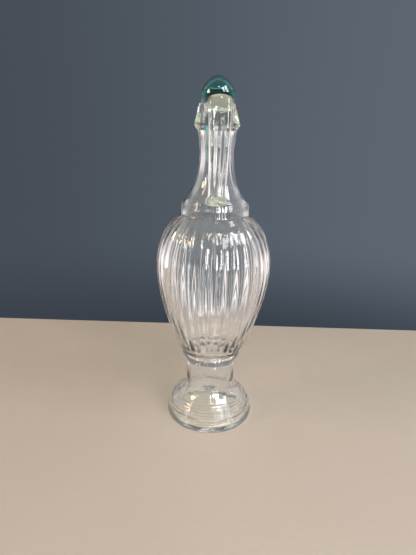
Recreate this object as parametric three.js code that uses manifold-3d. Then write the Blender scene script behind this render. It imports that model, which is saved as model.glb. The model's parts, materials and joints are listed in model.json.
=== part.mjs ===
// A footed glass decanter jar with a ribbed bowl, a strap handle and a green lift-out stopper.
// Millimetres, +Z up, the origin at the centre of the ring that it stands on.
// The handle is on the -Y side and the pouring lip on the +Y side.
import * as THREE from "three";
import { mergeVertices } from "three/addons/utils/BufferGeometryUtils.js";
import Module from "manifold-3d";

const wasm = await Module();
wasm.setup();

// ---- Driving dimensions ----
const OVERALL_HEIGHT = 330; // base to the tip of the stopper
const ROUND_SEGMENTS = 48; // sides of a turned piece
const STOPPER_SEGMENTS = 32;
const BOWL_R = 54.6;
const RIB_COUNT = 32;
const SEGMENTS_PER_RIB = 4;
const RIB_DEPTH = 1.4;
const RIB_SHARPNESS = 1.2; // more than 1 makes the grooves narrower than the ribs between them
const CUT_GAP = 0.1; // kept between a piece and the neighbour that it is cut to fit

// Heights of the joints between the gathers of glass
const FOOT_TOP = 36;
const STEM_TOP = 67.5;
const KNOP_TOP = 72.5;
const BOWL_TOP = 211;
const COLLAR_TOP = 222.5;
const NECK_TOP = 285;
const RIM_Z = 291;

// Radii of the joints, outside and inside
const FOOT_TOP_R = 25;
const STEM_BORE_R = 21;
const STEM_TOP_R = 24.8;
const KNOP_BORE_R = 16.5;
const KNOP_TOP_R = 27.4;
const KNOP_TOP_BORE_R = 17.5;
const BOWL_TOP_R = 32;
const BOWL_TOP_BORE_R = 28.2;
const COLLAR_TOP_R = 31.3;
const COLLAR_TOP_BORE_R = 25.5;
const NECK_TOP_R = 17.6;
const NECK_TOP_BORE_R = 12;

// Foot
const CONTACT_R = 40.5;
const CONTACT_INNER_R = 35.5;
const HEEL_R = 44.2;
const HEEL_ROUNDING = 4;
const HEEL_TOP = 8.5;
const PUSH_UP = 2.2; // height of the hollow under the foot
const FLOOR_TOP = 6;
const RINGED_TOP = [32.2, 24.7]; // where the rounded rings on the dome end
const RINGS = 8;
const RING_RELIEF = 1;

// Mouth and pouring lip
const RIM_R = 20.4;
const RIM_WIDTH = 3.4;
const LIP_REACH = 7; // how far the pouring lip stands out
const LIP_RISE = 21; // how far the rim climbs from its sides to the lip

// Handle: [y, z] points on its outer and inner faces, with its width there and how far its outer
// face bulges, as a share of its thickness. A bulge below 0 is a channel between two rounded ridges.
const HANDLE_STATIONS = [
  { outer: [-15.5, 293], inner: [-14.5, 283], width: 24, bulge: 0.25 },
  { outer: [-22, 302], inner: [-24.5, 292.4], width: 26, bulge: 0.35 },
  { outer: [-31, 309], inner: [-31.8, 299.4], width: 26, bulge: 0.4 },
  { outer: [-40.5, 311.2], inner: [-37.4, 301.2], width: 23.5, bulge: 0.38 },
  { outer: [-47.4, 309.6], inner: [-40.8, 299.4], width: 20, bulge: 0.2 },
  { outer: [-49.8, 303], inner: [-42, 295], width: 18.8, bulge: 0 },
  { outer: [-49.6, 292], inner: [-41.6, 286.5], width: 18, bulge: -0.26 },
  { outer: [-47.4, 272], inner: [-39.4, 269.5], width: 16.6, bulge: -0.3 },
  { outer: [-39.6, 247], inner: [-32.2, 249], width: 15.8, bulge: -0.3 },
  { outer: [-31, 223.5], inner: [-23.6, 227], width: 15.6, bulge: -0.16 },
];
const CHANNEL_WIDTH = 0.64; // as a share of the strap's width
const HANDLE_STEPS = 36;
const HANDLE_EDGE = 0.34; // roundness of the strap's edges, as a share of its thickness

// Pad under the foot of the handle, pinched into lobes
const PAD_TOP = 230;
const PAD_BOTTOM = 223;
const PAD_WIDTH = 17.6;
const PAD_LOBES = 4;
const PAD_FRONT_Y = -32;
const PAD_BACK_Y = -22;

// Stopper and its seal
const HEAD_R = 15.2;
const HEAD_MIDDLE_Z = 312.5;
const HEAD_BOTTOM = 297;
const SHANK_TOP_R = 11.4;
const SHANK_MOUTH_R = 10.9;
const SHANK_END_R = 9.9;
const SHANK_END_Z = 258;
const SEAL_BOTTOM = 272.5;
const SEAL_TOP = 285;
const GROOVE_R = 10.2; // of the groove in the shank that holds the seal
const SEAL_FIT = 0.05;
const SEAL_BODY_R = 10.8;
const SEAL_LIP_R = 11.3;
const SEAL_LIP_COUNT = 4;

// ---- Materials ----
const clearGlass = new THREE.MeshStandardMaterial({
  color: 0xe4ebe6, roughness: 0.03, metalness: 0, transparent: true, opacity: 0.35,
});
const greenGlass = new THREE.MeshStandardMaterial({
  color: 0x0b5a58, roughness: 0.03, metalness: 0, transparent: true, opacity: 0.7,
});
const sealPlastic = new THREE.MeshStandardMaterial({
  color: 0xe9ece6, roughness: 0.35, metalness: 0, transparent: true, opacity: 0.6,
});

// ---- Helpers ----
const v2 = ([x, y]) => new THREE.Vector2(x, y);

// A smooth line through the given [radius, height] points, in the given number of steps.
function curve(points, steps) {
  return new THREE.SplineCurve(points.map(v2)).getPoints(steps).map((p) => [p.x, p.y]);
}

// Part of an ellipse round the centre, from one angle to another, in degrees.
function arc(centre, radiusX, radiusY, from, to, steps) {
  const [a, b] = [from, to].map(THREE.MathUtils.degToRad);
  return new THREE.EllipseCurve(...centre, radiusX, radiusY, a, b, b < a)
    .getPoints(steps)
    .map((p) => [p.x, p.y]);
}

// Turns an outline of [radius, height] points about Z. The outline runs up the outside and down the
// inside, and either starts and ends on the axis or closes on itself.
function turned(outline, segments = ROUND_SEGMENTS) {
  const onAxis = outline[0][0] === 0 && outline.at(-1)[0] === 0;
  const closed = onAxis ? outline : [...outline, outline[0]];
  return new THREE.LatheGeometry(closed.map(v2), segments).rotateX(Math.PI / 2);
}

// Moves every corner of a geometry to where the given function of its x, y, z puts it.
function reshaped(geometry, place) {
  const position = geometry.attributes.position;
  for (let i = 0; i < position.count; i++) {
    position.setXYZ(i, ...place(position.getX(i), position.getY(i), position.getZ(i)));
  }
  return geometry;
}

function solid(geometry) {
  const bare = geometry.clone();
  bare.deleteAttribute("normal");
  bare.deleteAttribute("uv");
  const merged = mergeVertices(bare, 1e-4);
  return new wasm.Manifold(
    new wasm.Mesh({
      numProp: 3,
      vertProperties: merged.attributes.position.array,
      triVerts: new Uint32Array(merged.index.array),
    }),
  );
}

function geometryOf(manifold) {
  const { vertProperties, triVerts } = manifold.getMesh();
  const geometry = new THREE.BufferGeometry();
  geometry.setAttribute("position", new THREE.BufferAttribute(vertProperties, 3));
  geometry.setIndex(new THREE.BufferAttribute(triVerts, 1));
  return geometry;
}

const group = new THREE.Group();

function add(name, geometry, material) {
  geometry.computeVertexNormals();
  const mesh = new THREE.Mesh(geometry, material);
  mesh.name = name;
  group.add(mesh);
}

// ---- Foot: a hollow dome on a heel, with rounded rings and a floor with a push-up ----
function footOutline() {
  const base = new THREE.SplineCurve(
    [[HEEL_R - 1, HEEL_TOP + 0.6], [42.4, 12.4], [40.3, 16.8], [36.8, 21.1], RINGED_TOP].map(v2),
  );
  const rings = [];
  for (let i = 0; i <= 4 * RINGS; i++) {
    const t = i / (4 * RINGS);
    const [point, way] = [base.getPoint(t), base.getTangent(t)];
    const rise = RING_RELIEF * Math.abs(Math.sin(Math.PI * RINGS * t));
    rings.push([point.x + rise * way.y, point.y - rise * way.x]);
  }
  return [
    [0, PUSH_UP],
    [CONTACT_INNER_R - 3, PUSH_UP],
    [CONTACT_INNER_R, 0],
    ...arc([CONTACT_R, HEEL_ROUNDING], HEEL_R - CONTACT_R, HEEL_ROUNDING, -90, 0, 3),
    [HEEL_R, HEEL_TOP],
    ...rings,
    ...curve([RINGED_TOP, [27.6, 29.6], [FOOT_TOP_R, FOOT_TOP]], 5).slice(1),
    ...curve([[STEM_BORE_R, FOOT_TOP], [24.6, 28], [32, 21.2], [38, 15], [39, 9], [34, FLOOR_TOP]], 8),
    [0, FLOOR_TOP],
  ];
}
add("foot", turned(footOutline()), clearGlass);

// ---- Stem: a tube ----
add(
  "stem",
  turned([
    ...curve([[FOOT_TOP_R, FOOT_TOP], [24.4, 46], [24.3, 59], [STEM_TOP_R, STEM_TOP]], 4),
    ...curve([[KNOP_BORE_R, STEM_TOP], [20, 61], [21, 51], [STEM_BORE_R, FOOT_TOP]], 5),
  ]),
  clearGlass,
);

// ---- Knop: the ring between the stem and the bowl ----
add(
  "knop_ring",
  turned([
    ...curve([[STEM_TOP_R, STEM_TOP], [27.9, 68.2], [29, 70], [28.6, 71.6], [KNOP_TOP_R, KNOP_TOP]], 7),
    ...curve([[KNOP_TOP_BORE_R, KNOP_TOP], [15.6, 71], [15.4, 69.2], [KNOP_BORE_R, STEM_TOP]], 4),
  ]),
  clearGlass,
);

// ---- Bowl: an egg-shaped shell with upright ribs outside ----
const bowlOutside = [
  [KNOP_TOP_R, KNOP_TOP], [33.6, 81.5], [42.2, 102], [49.4, 126], [53.6, 148], [BOWL_R, 163],
  [53.6, 175], [50, 188.6], [44.5, 199], [38, 206.2], [BOWL_TOP_R, BOWL_TOP],
];
const bowlInside = [
  [KNOP_TOP_BORE_R, KNOP_TOP], [23.6, 78], [30.6, 87.4], [38.4, 104], [45.4, 126], [49.8, 148], [50.9, 163],
  [49.8, 175], [46, 188], [40.4, 197.4], [33.8, 205], [BOWL_TOP_BORE_R, BOWL_TOP],
];

// The grooves shrink with the bowl and fade out at both of its ends.
function ribbed(x, y, z) {
  const r = Math.hypot(x, y);
  const fadeIn = THREE.MathUtils.smoothstep(z, KNOP_TOP, KNOP_TOP + 6);
  const fadeOut = 1 - THREE.MathUtils.smoothstep(z, BOWL_TOP - 10, BOWL_TOP);
  const groove = (0.5 - 0.5 * Math.cos(RIB_COUNT * Math.atan2(y, x))) ** RIB_SHARPNESS;
  const k = 1 - (RIB_DEPTH / BOWL_R) * fadeIn * fadeOut * groove;
  return [x * k, y * k, z];
}

const bowlOutline = [[0, KNOP_TOP], ...curve(bowlOutside, 13), [0, BOWL_TOP]];
const bowlCavity = [
  [0, KNOP_TOP - 1],
  [KNOP_TOP_BORE_R, KNOP_TOP - 1],
  ...curve(bowlInside, 11),
  [BOWL_TOP_BORE_R, BOWL_TOP + 1],
  [0, BOWL_TOP + 1],
];
const bowlOuter = solid(reshaped(turned(bowlOutline, RIB_COUNT * SEGMENTS_PER_RIB), ribbed));
add("bowl", geometryOf(bowlOuter.subtract(solid(turned(bowlCavity)))), clearGlass);

// ---- Shoulder collar: the upright band above the bowl ----
add(
  "shoulder_collar",
  turned([
    [BOWL_TOP_R, BOWL_TOP],
    [31.9, 215],
    [31.7, 219.5],
    [COLLAR_TOP_R, COLLAR_TOP],
    [COLLAR_TOP_BORE_R, COLLAR_TOP],
    [27.8, 217],
    [BOWL_TOP_BORE_R, BOWL_TOP],
  ]),
  clearGlass,
);

// ---- Neck: a concave flare up to a thick-walled bore ----
const neckOutside = curve(
  [[COLLAR_TOP_R, COLLAR_TOP], [26.6, 228], [20.2, 238.5], [16.6, 252], [15.5, 264], [16.3, 275],
    [NECK_TOP_R, NECK_TOP]],
  11,
);
const neckInside = curve(
  [[NECK_TOP_BORE_R, NECK_TOP], [11.6, 272], [11.5, 260], [12.8, 248], [16.2, 237], [21, 228],
    [COLLAR_TOP_BORE_R, COLLAR_TOP]],
  9,
);
add("neck", turned([...neckOutside, ...neckInside]), clearGlass);

// ---- Mouth: a flared cup whose rim climbs from its sides to a pouring lip on the +Y side ----
const mouthOutside = curve(
  [[NECK_TOP_R, NECK_TOP], [18.4, 286.6], [19.9, 288.6], [RIM_R, RIM_Z - 0.6], [RIM_R - 0.6, RIM_Z]],
  6,
);
const mouthInside = curve(
  [[RIM_R - RIM_WIDTH, RIM_Z], [15.6, 289], [13.4, 286.8], [NECK_TOP_BORE_R, NECK_TOP]],
  5,
);

function drawnToLip(x, y, z) {
  const r = Math.hypot(x, y);
  const towardsLip = THREE.MathUtils.smoothstep(y / r, 0, 1);
  const share = (z - NECK_TOP) / (RIM_Z - NECK_TOP);
  const k = 1 + (LIP_REACH * towardsLip ** 3 * share) / r;
  return [x * k, y * k, z + LIP_RISE * towardsLip * share];
}
add("pouring_mouth", reshaped(turned([...mouthOutside, ...mouthInside]), drawnToLip), clearGlass);

// ---- Handle: a strap that leaves the back of the mouth, loops over and lands on the shoulder ----
const lineThrough = (key) => new THREE.SplineCurve(HANDLE_STATIONS.map((station) => v2(station[key])));
const handleOuter = lineThrough("outer");
const handleInner = lineThrough("inner");
const handleShape = new THREE.SplineCurve(HANDLE_STATIONS.map(({ width, bulge }) => v2([width, bulge])));

// The strap's section, one unit wide and one unit thick, with its outer face at +Y.
function strapSection() {
  const [w, t, e] = [0.5, 0.5, HANDLE_EDGE];
  const s = new THREE.Shape();
  s.moveTo(-w + e / 2, -t);
  s.lineTo(w - e / 2, -t);
  s.quadraticCurveTo(w, -t, w, -t + e);
  s.lineTo(w, t - e);
  s.quadraticCurveTo(w, t, w - e / 2, t);
  for (const x of [0.2, 0.1, 0, -0.1, -0.2]) {
    s.lineTo(x, t);
  }
  s.lineTo(-w + e / 2, t);
  s.quadraticCurveTo(-w, t, -w, t - e);
  s.lineTo(-w, -t + e);
  s.quadraticCurveTo(-w, -t, -w + e / 2, -t);
  return s;
}

function alongHandle(x, y, z) {
  const [outer, inner] = [handleOuter.getPoint(z), handleInner.getPoint(z)];
  const { x: width, y: bulge } = handleShape.getPoint(z);
  const inChannel = Math.max(0, 1 - Math.abs(2 * x) / CHANNEL_WIDTH);
  const drop = bulge > 0 ? bulge * (2 * x) ** 2 : -bulge * Math.sin((inChannel * Math.PI) / 2) ** 2;
  const point = inner.lerp(outer, (y + 0.5) * (1 - drop));
  return [x * width, point.x, point.y];
}

// The outside of the neck and mouth, filled in and a gap larger, for cutting what lands on them.
const neckRoom = solid(
  turned([
    [0, COLLAR_TOP - 2],
    [COLLAR_TOP_R + CUT_GAP, COLLAR_TOP - 2],
    ...[...neckOutside, ...mouthOutside.slice(1)].map(([r, z]) => [r + CUT_GAP, z]),
    [RIM_R - RIM_WIDTH, RIM_Z + CUT_GAP],
    [RIM_R - RIM_WIDTH, RIM_Z + 12],
    [0, RIM_Z + 12],
  ]),
);
const strapBar = new THREE.ExtrudeGeometry(strapSection(), {
  depth: 1, steps: HANDLE_STEPS, curveSegments: 3, bevelEnabled: false,
});
const strapSolid = solid(reshaped(strapBar, alongHandle)).trimByPlane([0, 0, 1], PAD_TOP);
add("handle", geometryOf(strapSolid.subtract(neckRoom).decompose()[0]), clearGlass);

// ---- Pad: the lump of glass that holds the foot of the handle to the shoulder ----
function padPlan() {
  const half = PAD_WIDTH / 2;
  const radius = half / PAD_LOBES;
  const lobes = [];
  for (let i = 0; i < PAD_LOBES; i++) {
    lobes.push(...arc([half - radius * (2 * i + 1), PAD_FRONT_Y], radius, radius, 0, -180, 8).slice(1));
  }
  return [[-half, PAD_BACK_Y], [half, PAD_BACK_Y], [half, PAD_FRONT_Y], ...lobes];
}
const padBlock = new THREE.ExtrudeGeometry(new THREE.Shape(padPlan().map(v2)), {
  depth: PAD_TOP - PAD_BOTTOM, bevelEnabled: false,
});
add("handle_pad", geometryOf(solid(padBlock.translate(0, 0, PAD_BOTTOM)).subtract(neckRoom)), clearGlass);

// ---- Stopper: a pointed knob on a tapered shank ----
const knob = curve(
  [
    [SHANK_TOP_R, HEAD_BOTTOM], [11.6, 301], [12.1, 304.4], [13.5, 306.6], [14.7, 309],
    [HEAD_R, HEAD_MIDDLE_Z], [14.4, 317], [12.2, 321.8], [9, 325.8], [4.4, 329],
  ],
  16,
);
add(
  "stopper_head",
  turned([[0, HEAD_BOTTOM], ...knob, [0, OVERALL_HEIGHT]], STOPPER_SEGMENTS),
  greenGlass,
);
add(
  "stopper_shank",
  turned(
    [
      [0, SHANK_END_Z],
      [SHANK_END_R - 1.5, SHANK_END_Z],
      [SHANK_END_R, SHANK_END_Z + 1.8],
      [GROOVE_R - 0.2, SEAL_BOTTOM - SEAL_FIT],
      [GROOVE_R, SEAL_BOTTOM],
      [GROOVE_R, SEAL_TOP + SEAL_FIT],
      [SHANK_MOUTH_R, SEAL_TOP + SEAL_FIT],
      [SHANK_TOP_R, HEAD_BOTTOM],
      [0, HEAD_BOTTOM],
    ],
    STOPPER_SEGMENTS,
  ),
  greenGlass,
);

// ---- Seal: a plastic sleeve in the shank's groove, with lips that grip the bore of the neck ----
function sealOutline() {
  const pitch = (SEAL_TOP - SEAL_BOTTOM) / SEAL_LIP_COUNT;
  const lips = [];
  for (let i = 0; i < SEAL_LIP_COUNT; i++) {
    const z = SEAL_BOTTOM + i * pitch;
    lips.push([SEAL_BODY_R, z], [SEAL_LIP_R, z + pitch * 0.45], [SEAL_LIP_R, z + pitch * 0.65]);
  }
  const bore = GROOVE_R + SEAL_FIT;
  return [...lips, [SEAL_BODY_R, SEAL_TOP], [bore, SEAL_TOP], [bore, SEAL_BOTTOM]];
}
add("stopper_seal", turned(sealOutline(), STOPPER_SEGMENTS), sealPlastic);

export default group;
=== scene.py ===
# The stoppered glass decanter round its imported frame: one body of clear glass with its handle,
# and the green stopper with its seal. The outlines below are in millimetres.
import json
import math

import bmesh
import bpy
from mathutils import Matrix, Vector, noise


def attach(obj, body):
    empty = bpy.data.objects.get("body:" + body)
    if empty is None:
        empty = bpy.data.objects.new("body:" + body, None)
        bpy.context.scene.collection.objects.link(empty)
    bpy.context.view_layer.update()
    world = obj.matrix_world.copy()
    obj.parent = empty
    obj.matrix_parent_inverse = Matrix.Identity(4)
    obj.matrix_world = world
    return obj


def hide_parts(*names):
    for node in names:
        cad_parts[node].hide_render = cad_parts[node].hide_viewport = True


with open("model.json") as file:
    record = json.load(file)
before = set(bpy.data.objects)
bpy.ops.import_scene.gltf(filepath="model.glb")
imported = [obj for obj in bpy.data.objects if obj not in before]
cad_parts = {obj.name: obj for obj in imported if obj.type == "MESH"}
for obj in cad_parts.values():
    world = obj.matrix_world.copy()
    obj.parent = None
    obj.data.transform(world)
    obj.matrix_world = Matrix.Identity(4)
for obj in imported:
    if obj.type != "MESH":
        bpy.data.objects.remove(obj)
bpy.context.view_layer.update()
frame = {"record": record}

MM = 0.001

# ---- The photographer's viewpoint ----
CAMERA_DISTANCE = 402.0
CAMERA_HEIGHT = 276.0
CAMERA_AZIMUTH = -2.4
CAMERA_PITCH = 17.6
CAMERA_YAW = -0.68
CAMERA_ROLL = -1.5
CAMERA_LENS = 27.9
FLOOR_BACK = 224.0  # where the floor ends, beyond the decanter
FLOOR_REACH = 1500.0

# ---- Levels and radii shared with the CAD ----
FOOT_TOP, KNOP_TOP = 36.0, 72.5
BOWL_TOP, COLLAR_TOP, NECK_TOP, RIM_Z = 211.0, 222.5, 285.0, 291.0
RIM_R, RIM_WIDTH = 20.4, 3.4
LIP_REACH, LIP_RISE = 7.0, 21.0

RIBS = 32
COLUMNS_PER_RIB = 8
BOWL_R = 54.6
RIB_DEPTH = 1.4
RIB_SHARPNESS = 1.2
SEAM_HEIGHT = 0.22
SEAM_WIDTH = 0.9
SPACING = 0.25  # of the points that an outline is first drawn with

UNDERSIDE = [(0, 2.2), (31, 2.2), (35.5, 0), (40.5, 0)]
HEEL_CENTRE, HEEL_RADIUS_X, HEEL_RADIUS_Z = (40.5, 4.0), 3.7, 4.0
HEEL_TOP = 8.5
RINGED_DOME = [(43.2, 9.1), (42.4, 12.4), (40.3, 16.8), (36.8, 21.1), (32.2, 24.7)]
RINGS, RING_RELIEF = 8, 1
DOME = [(32.2, 24.7), (27.6, 29.6), (25, 36)]
STEM = [(25, 36), (24.4, 46), (24.3, 59), (24.8, 67.5)]
KNOP = [(24.8, 67.5), (27.9, 68.2), (29, 70), (28.6, 71.6), (27.4, 72.5)]
BOWL = [
    (27.4, 72.5), (33.6, 81.5), (42.2, 102), (49.4, 126), (53.6, 148), (54.6, 163),
    (53.6, 175), (50, 188.6), (44.5, 199), (38, 206.2), (32, 211),
]
COLLAR = [(32, 211), (31.9, 215), (31.7, 219.5), (31.3, 222.5)]
NECK = [
    (31.3, 222.5), (26.6, 228), (20.2, 238.5), (16.6, 252), (15.5, 264), (16.3, 275), (17.6, 285),
]
MOUTH = [(17.6, 285), (18.4, 286.6), (19.9, 288.6), (20.4, 290.4), (19.8, 291)]
MOUTH_INSIDE = [(17, 291), (15.6, 289), (13.4, 286.8), (12, 285)]
NECK_INSIDE = [
    (12, 285), (11.6, 272), (11.5, 260), (12.8, 248), (16.2, 237), (21, 228), (25.5, 222.5),
]
COLLAR_INSIDE = [(25.5, 222.5), (27.8, 217), (28.2, 211)]
BOWL_INSIDE = [
    (28.2, 211), (33.8, 205), (40.4, 197.4), (46, 188), (49.8, 175), (50.9, 163), (49.8, 148),
    (45.4, 126), (38.4, 104), (30.6, 87.4), (23.6, 78), (17.5, 72.5),
]
KNOP_INSIDE = [(17.5, 72.5), (15.6, 71), (15.4, 69.2), (16.5, 67.5)]
STEM_INSIDE = [(16.5, 67.5), (20, 61), (21, 51), (21, 36)]
FOOT_INSIDE = [(21, 36), (24.6, 28), (32, 21.2), (38, 15), (39, 9), (34, 6), (0, 6)]


# ---- Curves ----
def spline(points, t):
    """The point a share t along a Catmull-Rom line through points, of any number of values each."""
    place = (len(points) - 1) * t
    i = min(int(place), len(points) - 2)
    w = place - i
    p0, p1 = points[max(i - 1, 0)], points[i]
    p2, p3 = points[i + 1], points[min(i + 2, len(points) - 1)]
    out = []
    for a, b, c, d in zip(p0, p1, p2, p3):
        v0, v1 = (c - a) / 2, (d - b) / 2
        cubic = (2 * b - 2 * c + v0 + v1) * w**3
        out.append(cubic + (-3 * b + 3 * c - 2 * v0 - v1) * w**2 + v0 * w + b)
    return out


def curve(points, steps):
    return [tuple(spline(points, i / steps)) for i in range(steps + 1)]


def arc(centre, radius_x, radius_z, start, end, steps):
    turns = [math.radians(start + (end - start) * i / steps) for i in range(steps + 1)]
    return [(centre[0] + radius_x * math.cos(a), centre[1] + radius_z * math.sin(a)) for a in turns]


def smoothstep(x, low, high):
    x = min(max((x - low) / (high - low), 0.0), 1.0)
    return x * x * (3 - 2 * x)


def evenly(line, spacing):
    """The line with a point every spacing along it."""
    out = [line[0]]
    left = spacing
    for a, b in zip(line, line[1:]):
        length = math.dist(a, b)
        done = 0.0
        while length - done >= left > 0:
            done += left
            out.append(tuple(p + (q - p) * done / length for p, q in zip(a, b)))
            left = spacing
        left -= length - done
    out.append(line[-1])
    return out


def softened(line, passes):
    """The line with its corners rounded, as fire-polished glass is. Its ends stay."""
    for _ in range(passes):
        inner = [
            tuple((a + 2 * b + c) / 4 for a, b, c in zip(p, q, r))
            for p, q, r in zip(line, line[1:], line[2:])
        ]
        line = [line[0], *inner, line[-1]]
    return line


def thinned(line, tolerance, longest):
    """The fewest of the line's points that keep its shape, and none further apart than longest."""
    keep = [0]
    i = 0
    while i < len(line) - 1:
        j = i + 1
        while j + 1 < len(line) and math.dist(line[i], line[j + 1]) <= longest:
            a, b = Vector(line[i]), Vector(line[j + 1])
            way = (b - a).normalized()
            off = max(abs((Vector(p) - a).cross(way)) for p in line[i + 1 : j + 1])
            if off > tolerance:
                break
            j += 1
        keep.append(j)
        i = j
    return [line[k] for k in keep]


# ---- Meshes ----
def object_of(name, verts, faces):
    mesh = bpy.data.meshes.new(name)
    mesh.from_pydata([tuple(c * MM for c in v) for v in verts], [], faces)
    mesh.validate()
    obj = bpy.data.objects.new(name, mesh)
    bpy.context.scene.collection.objects.link(obj)
    return obj


def tube_faces(columns, rows):
    """The faces round a stack of rows, with a flat face at each end."""
    faces = [tuple(reversed(range(columns)))]
    for k in range(rows):
        low, high = k * columns, (k + 1) * columns
        for i in range(columns):
            j = (i + 1) % columns
            faces.append((low + i, low + j, high + j, high + i))
    faces.append(tuple(rows * columns + i for i in range(columns)))
    return faces


def turned(name, line, angles, place):
    """The line of (r, z) turned about the axis, from the axis to the axis. place(angle, r, z, share)
    gives each corner, with share how far along the line it is."""
    n = len(angles)
    verts = [(0, 0, line[0][1])]
    for k, (r, z) in enumerate(line[1:-1], 1):
        verts += [place(a, r, z, k / (len(line) - 1)) for a in angles]
    verts.append((0, 0, line[-1][1]))
    top = len(verts) - 1
    faces = [(0, 1 + (i + 1) % n, 1 + i) for i in range(n)]
    for k in range(len(line) - 3):
        low, high = 1 + k * n, 1 + (k + 1) * n
        for i in range(n):
            j = (i + 1) % n
            faces.append((low + i, low + j, high + j, high + i))
    last = 1 + (len(line) - 3) * n
    faces += [(last + i, last + (i + 1) % n, top) for i in range(n)]
    return object_of(name, verts, faces)


ROUND = [2 * math.pi * i / 96 for i in range(96)]


def round_place(angle, r, z, share=0.0):
    return r * math.cos(angle), r * math.sin(angle), z


def shade(obj, sharp_degrees=40):
    """Shades smooth but for real edges."""
    obj.data.shade_smooth()
    obj.data.set_sharp_from_angle(angle=math.radians(sharp_degrees))


def finish_mesh(obj, sharp_degrees=40):
    """Merges stray doubles, turns the faces outwards and shades smooth but for real edges."""
    bm = bmesh.new()
    bm.from_mesh(obj.data)
    bmesh.ops.remove_doubles(bm, verts=bm.verts, dist=1e-7)
    bmesh.ops.recalc_face_normals(bm, faces=bm.faces)
    bm.to_mesh(obj.data)
    bm.free()
    shade(obj, sharp_degrees)


def combined(obj, other, operation):
    """obj after a boolean with other, which is then removed."""
    modifier = obj.modifiers.new("cut", "BOOLEAN")
    modifier.object = other
    modifier.operation = operation
    modifier.solver = "MANIFOLD"
    bpy.context.view_layer.update()
    done = bpy.data.meshes.new_from_object(obj.evaluated_get(bpy.context.evaluated_depsgraph_get()))
    obj.modifiers.clear()
    obj.data = done
    bpy.data.objects.remove(other)
    return obj


# ---- The clear glass body ----
def ringed(points, count, relief, steps_per_ring):
    """A curve through points with rounded rings standing on it."""
    steps = count * steps_per_ring
    line = []
    for i in range(steps + 1):
        t = i / steps
        r, z = spline(points, t)
        before, after = spline(points, max(t - 0.01, 0)), spline(points, min(t + 0.01, 1))
        rise = relief * abs(math.sin(math.pi * count * t)) / math.dist(before, after)
        line.append((r + rise * (after[1] - before[1]), z - rise * (after[0] - before[0])))
    return line


outside = (
    UNDERSIDE
    + arc(HEEL_CENTRE, HEEL_RADIUS_X, HEEL_RADIUS_Z, -90, 0, 12)
    + [(HEEL_CENTRE[0] + HEEL_RADIUS_X, HEEL_TOP)]
    + ringed(RINGED_DOME, RINGS, RING_RELIEF, 12)
    + curve(DOME, 24)
    + curve(STEM, 16)
    + curve(KNOP, 20)
    + curve(BOWL, 80)
    + curve(COLLAR, 8)
    + curve(NECK, 48)
    + curve(MOUTH, 16)
)
inside = (
    curve(MOUTH_INSIDE, 12)
    + curve(NECK_INSIDE, 40)
    + curve(COLLAR_INSIDE, 12)
    + curve(BOWL_INSIDE, 80)
    + curve(KNOP_INSIDE, 12)
    + curve(STEM_INSIDE, 12)
    + curve(FOOT_INSIDE, 48)
)


def without_repeats(line):
    return [p for i, p in enumerate(line) if i == 0 or math.dist(p, line[i - 1]) > 1e-6]


outside = evenly(without_repeats(outside), SPACING)
inside = evenly(without_repeats(inside), SPACING)
whole = softened(outside + inside, 3)
outer_line = thinned(whole[: len(outside)], 0.015, 3.5)
inner_line = thinned(whole[len(outside) :], 0.04, 5.0)
body_line = outer_line + inner_line
OUTER_SHARE = (len(outer_line) - 0.5) / (len(body_line) - 1)


def groove(angle, r, z, sharpness):
    """How far the wall is cut back between the ribs, which shrink with the bowl."""
    fade = smoothstep(z, KNOP_TOP, KNOP_TOP + 6) * (1 - smoothstep(z, BOWL_TOP - 10, BOWL_TOP))
    return RIB_DEPTH * r / BOWL_R * fade * (0.5 - 0.5 * math.cos(RIBS * angle)) ** sharpness


def wobble(angle, z, size, salt):
    """Slow unevenness of the wall, the same at both ends of a turn."""
    spot = Vector((math.cos(angle) * 1.6, math.sin(angle) * 1.6, z / 24 + salt))
    return noise.noise(spot) * size


def drawn(angle, z, across, along, salt):
    """Faint upright lines, from -1 to 1, where the soft glass was drawn out."""
    return noise.noise(Vector((math.cos(angle) * across, math.sin(angle) * across, z / along + salt)))


def neck_lines(angle, z, salt):
    return drawn(angle, z, 3.2, 160, salt) * smoothstep(z, 224, 240) * (1 - smoothstep(z, 278, 288))


def bowl_lines(angle, z):
    return drawn(angle, z, 9, 60, 61) * smoothstep(z, KNOP_TOP + 5, 95) * (1 - smoothstep(z, 185, 205))


def foot_waves(angle, r, z):
    """Short waves on the inside of the foot, but not in the middle of its floor."""
    return drawn(angle, z, 5, 5, 90) if r > 8 and z < FOOT_TOP else 0.0


def seam(angle, r):
    """The faint ridge where the halves of the mould met, on the +Y and -Y sides."""
    across = abs(math.cos(angle)) * r
    return SEAM_HEIGHT * math.exp(-((2 * across / SEAM_WIDTH) ** 2))


def body_place(angle, r, z, share):
    """Ribs, seams and unevenness, with the rim of the mouth drawn up and out to the pouring lip."""
    if share < OUTER_SHARE:
        if z < RIM_Z - 3:
            r -= groove(angle, r, z, RIB_SHARPNESS)
            if 1 < z < NECK_TOP:
                r += seam(angle, r) + wobble(angle, z, 0.12, 0) + 0.15 * neck_lines(angle, z, 7)
    else:
        uneven = wobble(angle, z, 0.35, 40) * smoothstep(r, 4, 12)
        r += uneven + 0.25 * neck_lines(angle, z, 23) + 0.3 * bowl_lines(angle, z)
        r += 0.5 * foot_waves(angle, r, z)
    x, y = r * math.cos(angle), r * math.sin(angle)
    if z > NECK_TOP and r > 0:
        towards_lip = smoothstep(y / r, 0, 1)
        up = (z - NECK_TOP) / (RIM_Z - NECK_TOP)
        out = 1 + LIP_REACH * towards_lip**3 * up / r
        x, y, z = x * out, y * out, z + LIP_RISE * towards_lip * up
    return x, y, z


def body_angles():
    """Evenly spaced columns, with closer ones beside the two seams."""
    even = RIBS * COLUMNS_PER_RIB
    angles = [2 * math.pi * i / even for i in range(even)]
    for side in (math.pi / 2, 3 * math.pi / 2):
        angles += [side + d for d in (-0.014, -0.0065, 0.0065, 0.014)]
    return sorted(angles)


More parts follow.
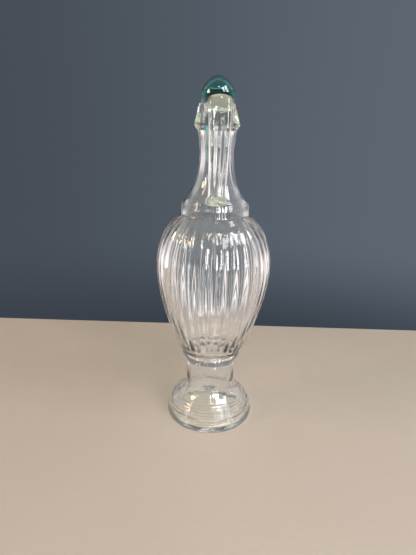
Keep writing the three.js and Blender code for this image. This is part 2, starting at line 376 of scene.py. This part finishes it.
body = turned("glass_body", body_line, body_angles(), body_place)

# ---- The handle ----
# (y, z of the outer face, y, z of the inner face, width, bulge of the outer face as a share of the
# thickness) along the strap, from the mouth to the shoulder
HANDLE = [
    (-15.5, 293, -14.5, 283, 24, 0.25), (-22, 302, -24.5, 292.4, 26, 0.35),
    (-31, 309, -31.8, 299.4, 26, 0.4), (-40.5, 311.2, -37.4, 301.2, 23.5, 0.38),
    (-47.4, 309.6, -40.8, 299.4, 20, 0.2), (-49.8, 303, -42, 295, 18.8, 0.0),
    (-49.6, 292, -41.6, 286.5, 18, -0.26), (-47.4, 272, -39.4, 269.5, 16.6, -0.3),
    (-39.6, 247, -32.2, 249, 15.8, -0.3), (-31, 223.5, -23.6, 227, 15.6, -0.16),
]
CHANNEL_WIDTH = 0.64
HANDLE_ROWS = 120
HANDLE_EDGE = 0.34
PAD_TOP, PAD_BOTTOM = 230.0, 223.0
PAD_WIDTH, PAD_LOBES = 17.6, 4
PAD_FRONT, PAD_BACK = -33.2, -22.0


def strap_section():
    """The strap's section, one unit wide and one thick, with rounded edges."""
    half = 0.5
    edge = HANDLE_EDGE / 2
    flat = half - edge
    inner = [(-flat + 2 * flat * i / 8, -half) for i in range(9)]
    outer = [(flat - 2 * flat * i / 16, half) for i in range(17)]
    right = arc((flat, 0), edge, half, -90, 90, 7)[1:-1]
    left = arc((-flat, 0), edge, half, 90, 270, 7)[1:-1]
    return inner + right + outer + left


def strap():
    """The strap of the handle, with a channel down it where the bulge is below 0."""
    section = strap_section()
    verts = []
    for k in range(HANDLE_ROWS + 1):
        outer_y, outer_z, inner_y, inner_z, width, bulge = spline(HANDLE, k / HANDLE_ROWS)
        for u, v in section:
            in_channel = max(0.0, 1 - abs(2 * u) / CHANNEL_WIDTH)
            if bulge > 0:
                drop = bulge * (2 * u) ** 2
            else:
                drop = -bulge * math.sin(in_channel * math.pi / 2) ** 2
            share = (v + 0.5) * (1 - drop)
            y = inner_y + (outer_y - inner_y) * share
            z = inner_z + (outer_z - inner_z) * share
            verts.append((u * width, y, z))
    return object_of("handle", verts, tube_faces(len(section), HANDLE_ROWS))


handle = strap()
finish_mesh(handle)


def core(name, inset):
    """The room inside the glass wall, which the handle must not reach into."""
    side = evenly(without_repeats(curve(NECK, 40) + curve(MOUTH[:-1], 8)), 2.0)
    line = [(0, COLLAR_TOP)] + [(r - inset, z) for r, z in side]
    line += [(RIM_R - RIM_WIDTH / 2, RIM_Z - 1), (RIM_R - RIM_WIDTH / 2, RIM_Z + 8), (0, RIM_Z + 8)]
    obj = turned(name, line, ROUND, round_place)
    finish_mesh(obj)
    return obj


def pad():
    """The lump that the foot of the handle ends in, pinched into lobes across its front and foot."""
    rows, columns = 26, 96
    low, high = PAD_BOTTOM, PAD_TOP + 1.5
    middle, depth = (PAD_BACK + PAD_FRONT) / 2, (PAD_BACK - PAD_FRONT) / 2
    verts = []
    for k in range(rows + 1):
        share = k / rows
        from_end = min(4 * min(share, 1 - share), 1)
        swell = 0.55 + 0.45 * (1 - (1 - from_end) ** 2) ** 0.5
        for i in range(columns):
            a = 2 * math.pi * i / columns
            x = math.copysign(abs(math.cos(a)) ** 0.35, math.cos(a))
            y = math.copysign(abs(math.sin(a)) ** 0.35, math.sin(a))
            pinch = 1 - abs(math.sin(math.pi * PAD_LOBES * (x + 1) / 2)) ** 0.6
            z = low + (high - low) * share + 1.1 * pinch * (1 - smoothstep(share, 0.0, 0.6))
            crinkle = 0.6 * noise.noise(Vector((x * 4.5, y * 4.5, z / 1.8)))
            wide = PAD_WIDTH / 2 * swell + crinkle
            reach = depth * (1 - 0.26 * smoothstep(-y, 0.2, 1.0) * pinch) * swell + crinkle
            verts.append((x * wide, middle + y * reach, z))
    return object_of("pad", verts, tube_faces(columns, rows))


handle_pad = pad()
finish_mesh(handle_pad)
finish_mesh(body)
handle = combined(handle, handle_pad, "UNION")
handle = combined(handle, core("core", 1.2), "DIFFERENCE")
body = combined(body, handle, "UNION")
finish_mesh(body, 50)

# ---- The stopper ----
KNOB = [
    (11.4, 297), (11.6, 301), (12.1, 304.4), (13.5, 306.6), (14.7, 309), (15.2, 312.5), (14.4, 317),
    (12.2, 321.8), (9, 325.8), (4.4, 329), (0, 330),
]
BUBBLE = [
    (0, 314.6), (6.6, 315), (10.6, 316.4), (11.2, 318.2), (9.8, 320.8), (7, 323.8), (3.4, 326),
    (0, 326.7),
]
SHANK = [
    (0, 258), (8.4, 258), (9.9, 259.8), (10, 272.45), (10.2, 272.5), (10.2, 285.05), (10.9, 285.05),
    (11.4, 297),
]
SEAL_BOTTOM, SEAL_TOP, SEAL_LIPS = 272.5, 285.0, 4
SEAL_BORE, SEAL_BODY, SEAL_LIP = 10.25, 10.8, 11.3

stopper_line = evenly(without_repeats(SHANK + curve(KNOB, 40)), SPACING)
stopper_line = thinned(softened(stopper_line, 5), 0.02, 2.5)
stopper = turned("green_stopper", stopper_line, ROUND, round_place)
finish_mesh(stopper)
bubble = turned("bubble", curve(BUBBLE, 36), ROUND, round_place)
finish_mesh(bubble)
stopper = combined(stopper, bubble, "DIFFERENCE")
shade(stopper)


def ring(name, line):
    """A closed outline of (r, z) turned about the axis."""
    n, m = len(ROUND), len(line)
    verts = [round_place(a, r, z) for r, z in line for a in ROUND]
    faces = []
    for k in range(m):
        for i in range(n):
            j, up = (i + 1) % n, (k + 1) % m
            faces.append((k * n + i, k * n + j, up * n + j, up * n + i))
    return object_of(name, verts, faces)


def seal_line():
    """The sleeve's outline: lips outside and a plain bore."""
    pitch = (SEAL_TOP - SEAL_BOTTOM) / SEAL_LIPS
    line = []
    for i in range(SEAL_LIPS):
        z = SEAL_BOTTOM + i * pitch
        line += [(SEAL_BODY, z), (SEAL_LIP, z + pitch * 0.45), (SEAL_LIP, z + pitch * 0.65)]
    line += [(SEAL_BODY, SEAL_TOP), (SEAL_BORE, SEAL_TOP), (SEAL_BORE, SEAL_BOTTOM)]
    return line


seal = ring("stopper_seal_ring", seal_line())
finish_mesh(seal)


# ---- Materials ----
class Nodes:
    """Short ways to add and link shader nodes in one material."""

    def __init__(self, name):
        self.material = bpy.data.materials.new(name)
        self.material.use_nodes = True
        self.tree = self.material.node_tree
        self.tree.nodes.clear()
        self.output = self.add("ShaderNodeOutputMaterial")

    def add(self, kind, **values):
        node = self.tree.nodes.new(kind)
        for key, value in values.items():
            setattr(node, key, value)
        return node

    def link(self, a, b):
        self.tree.links.new(a, b)

    def noise(self, scale, detail, stretch=(1, 1, 1)):
        where = self.add("ShaderNodeTexCoord")
        mapping = self.add("ShaderNodeMapping")
        mapping.inputs["Scale"].default_value = stretch
        texture = self.add("ShaderNodeTexNoise")
        texture.inputs["Scale"].default_value = scale
        texture.inputs["Detail"].default_value = detail
        self.link(where.outputs["Object"], mapping.inputs["Vector"])
        self.link(mapping.outputs["Vector"], texture.inputs["Vector"])
        return texture.outputs["Fac"]

    def between(self, factor, low, high):
        """A number that goes from low to high as factor goes from 0.3 to 0.7."""
        node = self.add("ShaderNodeMapRange")
        node.inputs["From Min"].default_value = 0.3
        node.inputs["From Max"].default_value = 0.7
        node.inputs["To Min"].default_value = low
        node.inputs["To Max"].default_value = high
        self.link(factor, node.inputs["Value"])
        return node.outputs["Result"]

    def mixed(self, factor, first, second):
        node = self.add("ShaderNodeMix", data_type="RGBA")
        node.inputs["A"].default_value = (*first, 1)
        node.inputs["B"].default_value = (*second, 1)
        self.link(factor, node.inputs["Factor"])
        return node.outputs["Result"]


PAINTED_OLIVE = (0.84, 0.86, 0.68, 1)  # the colour of the painted light: olive patches on the handle's top, the ears and the pad


def near(m, centre, radii):
    """1 inside a rounded box of these half sizes in millimetres, 0 outside, on both sides of X and Y."""
    where = m.add("ShaderNodeTexCoord")
    both = m.add("ShaderNodeVectorMath", operation="ABSOLUTE")
    offset = m.add("ShaderNodeVectorMath", operation="SUBTRACT")
    offset.inputs[1].default_value = [c * MM for c in centre]
    scaled = m.add("ShaderNodeVectorMath", operation="DIVIDE")
    scaled.inputs[1].default_value = [r * MM for r in radii]
    squared = m.add("ShaderNodeVectorMath", operation="MULTIPLY")
    length = m.add("ShaderNodeVectorMath", operation="LENGTH")
    share = m.add("ShaderNodeMapRange", interpolation_type="SMOOTHSTEP")
    share.inputs["From Min"].default_value = 1.0
    share.inputs["From Max"].default_value = 0.6
    m.link(where.outputs["Object"], both.inputs[0])
    m.link(both.outputs["Vector"], offset.inputs[0])
    m.link(offset.outputs["Vector"], scaled.inputs[0])
    m.link(scaled.outputs["Vector"], squared.inputs[0])
    m.link(scaled.outputs["Vector"], squared.inputs[1])
    m.link(squared.outputs["Vector"], length.inputs[0])
    m.link(length.outputs["Value"], share.inputs["Value"])
    return share.outputs["Result"]


def glass(name, tints, rough, haze, bumps, absorbed, density, shadow, painted_light=(), crinkles=()):
    """Glass that is tinted by its depth, slightly uneven, and lets lamps through. Each of the patches of
    painted light gives the centre and half sizes of a patch, where the glass is made less clear and olive
    to stand in for the light it shows there, and how much less clear it is. Each of crinkles is a patch
    with the scale and the height of its bumps."""
    m = Nodes(name)
    shader = m.add("ShaderNodeBsdfPrincipled")
    shader.inputs["Transmission Weight"].default_value = 1.0 - haze
    shader.inputs["IOR"].default_value = 1.5
    tint = m.mixed(m.noise(22, 2), *tints)
    clearness = None
    # Painted light: each patch makes the glass less clear and mixes in the painted olive colour.
    for centre, radii, share in painted_light:
        inside = near(m, centre, radii)
        patch = m.add("ShaderNodeMath", operation="MULTIPLY_ADD")
        patch.inputs[1].default_value = -share
        patch.inputs[2].default_value = 1.0 - haze
        m.link(inside, patch.inputs[0])
        painted_olive = m.add("ShaderNodeMix", data_type="RGBA")
        painted_olive.inputs["B"].default_value = PAINTED_OLIVE
        m.link(inside, painted_olive.inputs["Factor"])
        m.link(tint, painted_olive.inputs["A"])
        tint = painted_olive.outputs["Result"]
        if clearness:
            m.link(clearness, patch.inputs[2])
        clearness = patch.outputs["Value"]
    if clearness:
        m.link(clearness, shader.inputs["Transmission Weight"])
    m.link(tint, shader.inputs["Base Color"])
    m.link(m.between(m.noise(60, 4), *rough), shader.inputs["Roughness"])
    normal = None
    for scale, detail, stretch, distance in bumps:
        bump = m.add("ShaderNodeBump")
        bump.inputs["Strength"].default_value = 1.0
        bump.inputs["Distance"].default_value = distance
        m.link(m.noise(scale, detail, stretch), bump.inputs["Height"])
        if normal:
            m.link(normal, bump.inputs["Normal"])
        normal = bump.outputs["Normal"]
    for centre, radii, scale, distance in crinkles:
        height = m.add("ShaderNodeMath", operation="MULTIPLY")
        m.link(near(m, centre, radii), height.inputs[0])
        m.link(m.noise(scale, 3), height.inputs[1])
        bump = m.add("ShaderNodeBump")
        bump.inputs["Distance"].default_value = distance
        m.link(height.outputs["Value"], bump.inputs["Height"])
        m.link(normal, bump.inputs["Normal"])
        normal = bump.outputs["Normal"]
    m.link(normal, shader.inputs["Normal"])
    clear = m.add("ShaderNodeBsdfTransparent")
    clear.inputs["Color"].default_value = (*shadow, 1)
    rays = m.add("ShaderNodeLightPath")
    mix = m.add("ShaderNodeMixShader")
    m.link(rays.outputs["Is Shadow Ray"], mix.inputs["Fac"])
    m.link(shader.outputs["BSDF"], mix.inputs[1])
    m.link(clear.outputs["BSDF"], mix.inputs[2])
    m.link(mix.outputs["Shader"], m.output.inputs["Surface"])
    depth = m.add("ShaderNodeVolumeAbsorption")
    depth.inputs["Color"].default_value = (*absorbed, 1)
    depth.inputs["Density"].default_value = density
    m.link(depth.outputs["Volume"], m.output.inputs["Volume"])
    return m.material


clear_glass = glass(
    "clear_glass",
    tints=((0.99, 0.992, 0.992), (0.996, 0.996, 0.997)),
    rough=(0.0, 0.015),
    haze=0.008,
    bumps=[(28, 2, (1, 1, 0.5), 0.0004), (140, 2, (1, 1, 0.6), 0.00004)],
    absorbed=(0.2, 0.5, 0.25),
    density=0.8,
    shadow=(0.7, 0.73, 0.71),
    # Painted light: olive, less clear patches on the handle's top, the ears and the pad stand in for the
    # light the glass shows there.
    painted_light=[
        ((0, 48, 306), (11.5, 7, 8), 0.13),
        ((17, 0, 298), (6, 14, 11), 0.16),
        ((0, 29.5, 226.6), (9.4, 6, 4.4), 0.2),
    ],
    crinkles=[((0, 29.5, 226.6), (10, 6.5, 4.6), 330, 0.005)],
)
green_glass = glass(
    "green_glass",
    tints=((0.80, 0.95, 0.95), (0.85, 0.97, 0.97)),
    rough=(0.0, 0.02),
    haze=0.0,
    bumps=[(60, 2, (1, 1, 1), 0.0003)],
    absorbed=(0.05, 0.74, 0.74),
    density=330.0,
    shadow=(0.25, 0.6, 0.6),
)


def seal_material():
    m = Nodes("clear_seal")
    shader = m.add("ShaderNodeBsdfPrincipled")
    shader.inputs["Transmission Weight"].default_value = 0.92
    shader.inputs["IOR"].default_value = 1.5
    m.link(m.mixed(m.noise(90, 3), (0.93, 0.94, 0.93), (0.97, 0.97, 0.97)), shader.inputs["Base Color"])
    m.link(m.between(m.noise(200, 3), 0.08, 0.2), shader.inputs["Roughness"])
    bump = m.add("ShaderNodeBump")
    bump.inputs["Distance"].default_value = 0.0001
    m.link(m.noise(300, 3), bump.inputs["Height"])
    m.link(bump.outputs["Normal"], shader.inputs["Normal"])
    m.link(shader.outputs["BSDF"], m.output.inputs["Surface"])
    return m.material


def dress(obj, material, slot, body_name, *nodes):
    obj.data.materials.clear()
    obj.data.materials.append(material)
    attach(obj, body_name)
    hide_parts(*nodes)


BODIES = frame["record"]["behaviour"]["bodies"]
dress(body, clear_glass, "clear_glass", "decanter", *BODIES["decanter"])
dress(stopper, green_glass, "green_glass", "stopper", "stopper_head", "stopper_shank")
dress(seal, seal_material(), "clear_seal", "stopper", "stopper_seal")


# ---- Floor, light and camera ----
def floor():
    low, high = -FLOOR_REACH, FLOOR_REACH
    verts = [(low, low, 0), (high, low, 0), (high, FLOOR_BACK, 0), (low, FLOOR_BACK, 0)]
    obj = object_of("floor", verts, [(0, 1, 2, 3)])
    obj.rotation_euler.z = math.radians(CAMERA_AZIMUTH)
    m = Nodes("floor_paint")
    shader = m.add("ShaderNodeBsdfPrincipled")
    m.link(m.mixed(m.noise(6, 5), (0.28, 0.236, 0.203), (0.305, 0.262, 0.229)), shader.inputs["Base Color"])
    m.link(m.between(m.noise(40, 4), 0.5, 0.65), shader.inputs["Roughness"])
    shader.inputs["Specular IOR Level"].default_value = 0.25
    bump = m.add("ShaderNodeBump")
    bump.inputs["Distance"].default_value = 0.0003
    m.link(m.noise(180, 5), bump.inputs["Height"])
    m.link(bump.outputs["Normal"], shader.inputs["Normal"])
    m.link(shader.outputs["BSDF"], m.output.inputs["Surface"])
    obj.data.materials.append(m.material)


floor()


def lamp(name, place, aim, size, power, colour):
    data = bpy.data.lights.new(name, "AREA")
    data.shape = "RECTANGLE"
    data.size, data.size_y = size
    data.energy = power
    data.color = colour
    obj = bpy.data.objects.new(name, data)
    obj.location = place
    obj.rotation_euler = (Vector(aim) - Vector(place)).to_track_quat("-Z", "Y").to_euler()
    obj.visible_camera = False
    bpy.context.scene.collection.objects.link(obj)


def lamp_round(name, azimuth, elevation, distance, size, power, colour):
    """A lamp aimed at the middle of the decanter, azimuth degrees to the right of the -Y side."""
    a, e = math.radians(azimuth), math.radians(elevation)
    way = Vector((math.sin(a) * math.cos(e), -math.cos(a) * math.cos(e), math.sin(e)))
    lamp(name, MIDDLE + way * distance, MIDDLE, size, power, colour)


MIDDLE = Vector((0, 0, 0.16))
WARM, COOL, NEUTRAL = (1.0, 0.66, 0.36), (0.93, 0.97, 1.0), (1.0, 0.98, 0.95)
for i, azimuth in enumerate((14, 24, 34)):
    lamp_round(f"window_{i}", azimuth, 12, 1.3, (0.1, 0.6), 7, COOL)
for i, azimuth in enumerate((38, 66)):
    lamp_round(f"high_window_{i}", azimuth, 44, 1.3, (0.3, 0.5), 8, COOL)
lamp_round("left_window", -66, 28, 1.3, (0.12, 0.3), 3, COOL)
lamp_round("warm_lamp", -80, 32, 1.2, (0.2, 0.3), 6, WARM)
lamp_round("warm_chandelier", 8, 60, 1.2, (0.16, 0.12), 2.5, WARM)
lamp_round("left_strip", -115, 8, 0.9, (0.3, 1.0), 0.4, NEUTRAL)
lamp_round("right_strip", 115, 8, 0.9, (0.3, 1.0), 0.4, NEUTRAL)

SLATE_LEFT = (0.063, 0.076, 0.092, 1)
SLATE_RIGHT = (0.108, 0.136, 0.17, 1)
SLATE_FOOT = (0.038, 0.048, 0.064, 1)
CEILING = (0.5, 0.51, 0.46, 1)
SIDES = (0.36, 0.36, 0.375, 1)
LOW = (1.08, 0.98, 0.96, 1)
BEHIND = (0.26, 0.265, 0.22, 1)


def studio():
    """A slate backdrop beyond the +Y side, in a pale room that is dark behind the camera."""
    world = bpy.data.worlds.new("studio")
    bpy.context.scene.world = world
    world.use_nodes = True
    tree = world.node_tree
    where = tree.nodes.new("ShaderNodeTexCoord")
    parts = tree.nodes.new("ShaderNodeSeparateXYZ")
    tree.links.new(where.outputs["Generated"], parts.inputs["Vector"])

    def blend(value, low, high, first, second):
        ramp = tree.nodes.new("ShaderNodeMapRange")
        ramp.interpolation_type = "SMOOTHSTEP"
        ramp.inputs["From Min"].default_value = low
        ramp.inputs["From Max"].default_value = high
        mix = tree.nodes.new("ShaderNodeMix")
        mix.data_type = "RGBA"
        for name, colour in (("A", first), ("B", second)):
            if isinstance(colour, tuple):
                mix.inputs[name].default_value = colour
            else:
                tree.links.new(colour, mix.inputs[name])
        tree.links.new(value, ramp.inputs["Value"])
        tree.links.new(ramp.outputs["Result"], mix.inputs["Factor"])
        return mix.outputs["Result"]

    upwards = tree.nodes.new("ShaderNodeMath")
    upwards.operation = "MAXIMUM"
    upwards.inputs[1].default_value = 0.0
    tree.links.new(parts.outputs["Z"], upwards.inputs[0])
    ahead = tree.nodes.new("ShaderNodeMath")
    ahead.operation = "MULTIPLY_ADD"
    ahead.inputs[1].default_value = 0.35
    tree.links.new(upwards.outputs["Value"], ahead.inputs[0])
    tree.links.new(parts.outputs["Y"], ahead.inputs[2])

    sides = blend(parts.outputs["Z"], -0.15, 0.12, LOW, SIDES)
    walls = blend(parts.outputs["Y"], -0.75, -0.35, BEHIND, sides)
    room = blend(parts.outputs["Z"], 0.25, 0.6, walls, CEILING)
    slate = blend(parts.outputs["X"], -0.45, 0.5, SLATE_LEFT, SLATE_RIGHT)
    slate = blend(parts.outputs["Z"], -0.44, -0.2, SLATE_FOOT, slate)
    around = blend(ahead.outputs["Value"], 0.86, 0.93, room, slate)
    rays = tree.nodes.new("ShaderNodeLightPath")
    view = blend(rays.outputs["Is Camera Ray"], 0.0, 1.0, around, slate)
    tree.links.new(view, tree.nodes["Background"].inputs["Color"])


studio()


def camera():
    """The view from the handle's side, slightly above, with the photographer's tilt."""
    pitch, roll = math.radians(CAMERA_PITCH), math.radians(CAMERA_ROLL)
    orbit = math.radians(CAMERA_AZIMUTH)
    yaw = math.radians(CAMERA_YAW) - orbit
    ahead = Vector((math.sin(yaw) * math.cos(pitch), math.cos(yaw) * math.cos(pitch), -math.sin(pitch)))
    right = Vector((math.cos(yaw), -math.sin(yaw), 0))
    up = right.cross(ahead)
    x = right * math.cos(roll) - up * math.sin(roll)
    y = right * math.sin(roll) + up * math.cos(roll)
    place = Vector((math.sin(orbit), -math.cos(orbit), 0)) * CAMERA_DISTANCE
    place.z = CAMERA_HEIGHT
    data = bpy.data.cameras.new("camera")
    data.lens = CAMERA_LENS
    obj = bpy.data.objects.new("camera", data)
    obj.matrix_world = Matrix.Translation(place * MM) @ Matrix((x, y, -ahead)).transposed().to_4x4()
    bpy.context.scene.collection.objects.link(obj)
    bpy.context.scene.camera = obj


camera()
scene = bpy.context.scene
scene.view_settings.view_transform = "Standard"
scene.cycles.max_bounces = 32
scene.cycles.transmission_bounces = 32
scene.cycles.transparent_max_bounces = 32
